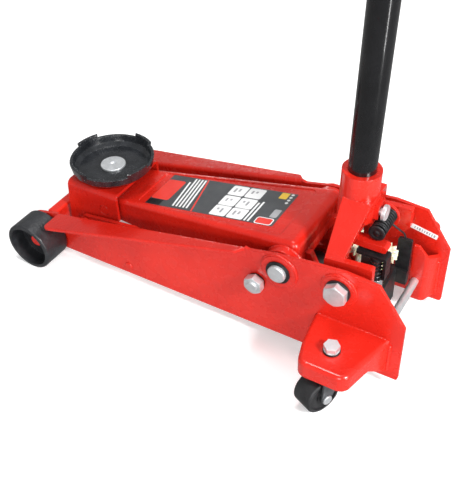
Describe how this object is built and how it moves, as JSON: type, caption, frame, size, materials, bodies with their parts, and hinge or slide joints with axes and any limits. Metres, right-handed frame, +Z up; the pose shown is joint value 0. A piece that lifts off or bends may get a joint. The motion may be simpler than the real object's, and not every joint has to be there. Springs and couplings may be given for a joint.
{
  "type": "hydraulic trolley jack",
  "caption": "Low red trolley jack with a lifting arm, round swivelling saddle, front rollers, rear swivel casters and an upright pump handle.",
  "frame": {"origin": "on the floor under the middle of the overall size", "axes": "+X towards the saddle, +Y to the jack's left, +Z up"},
  "size_m": [0.6419, 0.3772, 1.1506],
  "materials": {
    "red_paint": "gloss",
    "zinc": "satin",
    "black_steel": "satin",
    "handle_black": "gloss",
    "cast_black": "gloss",
    "unit_black": "satin",
    "bright_steel": "polished",
    "fork_grey": "satin",
    "caster_black": "matte",
    "nylon": "satin",
    "rubber": "matte",
    "label_white": "matte"
  },
  "bodies": {
    "chassis": {"side_plate_left": "red_paint", "side_plate_right": "red_paint", "front_cross_plate": "red_paint", "rear_tie_rod": "zinc", "rear_gussets": "red_paint", "caster_bracket_left": "red_paint", "caster_bracket_right": "red_paint", "kingpin_bolts": "zinc", "bolt_washers": "black_steel", "swivel_bearings": "black_steel", "front_axle": "red_paint", "wheel_retainers": "black_steel", "arm_pivot_shaft": "zinc", "shaft_rings": "black_steel", "handle_pivot_bolts": "zinc", "rod_anchor_bolts": "zinc", "rod_anchor_nuts": "zinc", "pump_body": "unit_black", "ram_cylinder": "unit_black", "gland_nut": "bright_steel", "body_plugs": "bright_steel", "pump_barrel": "bright_steel", "spring_post": "black_steel", "pump_spring": "black_steel", "return_springs": "black_steel", "serial_label": "label_white"},
    "lift_arm": {"lift_arm": "red_paint", "arm_pivot_tube": "red_paint", "arm_lugs": "red_paint", "arm_front_pin": "red_paint"},
    "saddle_bracket": {"saddle_bracket": "red_paint", "bracket_lower_pin": "red_paint", "saddle_bolt": "zinc", "saddle_nut": "zinc"},
    "saddle": {"saddle": "cast_black"},
    "radius_rods": {"radius_rod_left": "red_paint", "radius_rod_right": "red_paint"},
    "ram": {"ram_rod": "bright_steel", "ram_crosshead": "unit_black", "pull_links": "red_paint"},
    "handle_socket": {"handle_socket": "red_paint", "clamp_bolt": "zinc", "spring_pin": "black_steel", "torsion_spring": "black_steel"},
    "handle": {"lower_handle": "handle_black", "upper_handle": "handle_black", "handle_grip": "rubber", "handle_joint_rivets": "zinc"},
    "pump_plunger": {"pump_yoke": "black_steel", "pump_plunger": "bright_steel"},
    "drive_gear": {"handle_drive_gear": "nylon"},
    "release_gear": {"release_valve_gear": "nylon"},
    "front_wheel_left": {"front_wheel_left": "cast_black"},
    "front_wheel_right": {"front_wheel_right": "cast_black"},
    "caster_fork_left": {"caster_fork_left": "fork_grey", "caster_axle_left": "zinc"},
    "caster_fork_right": {"caster_fork_right": "fork_grey", "caster_axle_right": "zinc"},
    "caster_wheel_left": {"caster_wheel_left": "caster_black"},
    "caster_wheel_right": {"caster_wheel_right": "caster_black"}
  },
  "joints": [
    {"name": "arm_lift", "type": "hinge", "parent": "chassis", "child": "lift_arm", "pos_m": [-0.143, 0, 0.138], "axis": [0, -1, 0], "range_deg": [0, 66]},
    {"name": "bracket_level", "type": "hinge", "parent": "lift_arm", "child": "saddle_bracket", "pos_m": [0.18, 0, 0.0975], "axis": [0, -1, 0], "range_deg": [-66, 0]},
    {"name": "saddle_turn", "type": "hinge", "parent": "saddle_bracket", "child": "saddle", "pos_m": [0.198, 0, 0.135], "axis": [0, 0, 1], "continuous": true},
    {"name": "rod_swing", "type": "hinge", "parent": "chassis", "child": "radius_rods", "pos_m": [-0.1088, 0, 0.1056], "axis": [0, -1, 0], "range_deg": [0, 66]},
    {"name": "ram_stroke", "type": "slide", "parent": "chassis", "child": "ram", "axis": [1, 0, 0], "range_m": [0, 0.0781], "deforming": ["return_springs"]},
    {"name": "handle_pump", "type": "hinge", "parent": "chassis", "child": "handle_socket", "pos_m": [-0.229, 0, 0.1435], "axis": [0, -1, 0], "range_deg": [0, 50], "stiffness_Nm_per_rad": 10, "springref_deg": -17.19, "deforming": ["torsion_spring"]},
    {"name": "pump_stroke", "type": "slide", "parent": "chassis", "child": "pump_plunger", "axis": [0, 0, -1], "range_m": [0, 0.0346], "deforming": ["pump_spring"]},
    {"name": "handle_twist", "type": "hinge", "parent": "handle_socket", "child": "handle", "pos_m": [-0.2134, 0, 0.2717], "axis": [-0.0326, 0, 0.9995], "range_deg": [0, 180]},
    {"name": "drive_gear_turn", "type": "hinge", "parent": "chassis", "child": "drive_gear", "pos_m": [-0.211, -0.0215, 0.129], "axis": [0, 0, 1], "range_deg": [0, 180]},
    {"name": "release_gear_turn", "type": "hinge", "parent": "chassis", "child": "release_gear", "pos_m": [-0.246, -0.0215, 0.129], "axis": [0, 0, 1], "range_deg": [-180, 0]},
    {"name": "front_wheel_left_spin", "type": "hinge", "parent": "chassis", "child": "front_wheel_left", "pos_m": [0.2804, 0.1125, 0.0405], "axis": [0, 1, 0], "continuous": true},
    {"name": "caster_left_swivel", "type": "hinge", "parent": "chassis", "child": "caster_fork_left", "pos_m": [-0.246, 0.1385, 0.065], "axis": [0, 0, 1], "continuous": true},
    {"name": "caster_left_roll", "type": "hinge", "parent": "caster_fork_left", "child": "caster_wheel_left", "pos_m": [-0.23705, 0.1586, 0.027], "axis": [0.9135, -0.4067, 0], "continuous": true},
    {"name": "front_wheel_right_spin", "type": "hinge", "parent": "chassis", "child": "front_wheel_right", "pos_m": [0.2804, -0.1125, 0.0405], "axis": [0, 1, 0], "continuous": true},
    {"name": "caster_right_swivel", "type": "hinge", "parent": "chassis", "child": "caster_fork_right", "pos_m": [-0.246, -0.1385, 0.065], "axis": [0, 0, 1], "continuous": true},
    {"name": "caster_right_roll", "type": "hinge", "parent": "caster_fork_right", "child": "caster_wheel_right", "pos_m": [-0.23705, -0.1586, 0.027], "axis": [0.9135, 0.4067, 0], "continuous": true}
  ],
  "couplings": [
    {"joint": "bracket_level", "follows": "arm_lift", "ratio": -1},
    {"joint": "rod_swing", "follows": "arm_lift", "ratio": 1},
    {"joint": "ram_stroke", "follows": "arm_lift", "m_per_rad": 0.0677},
    {"joint": "pump_stroke", "follows": "handle_pump", "m_per_rad": 0.0395},
    {"joint": "drive_gear_turn", "follows": "handle_twist", "ratio": 1},
    {"joint": "release_gear_turn", "follows": "handle_twist", "ratio": -1}
  ]
}
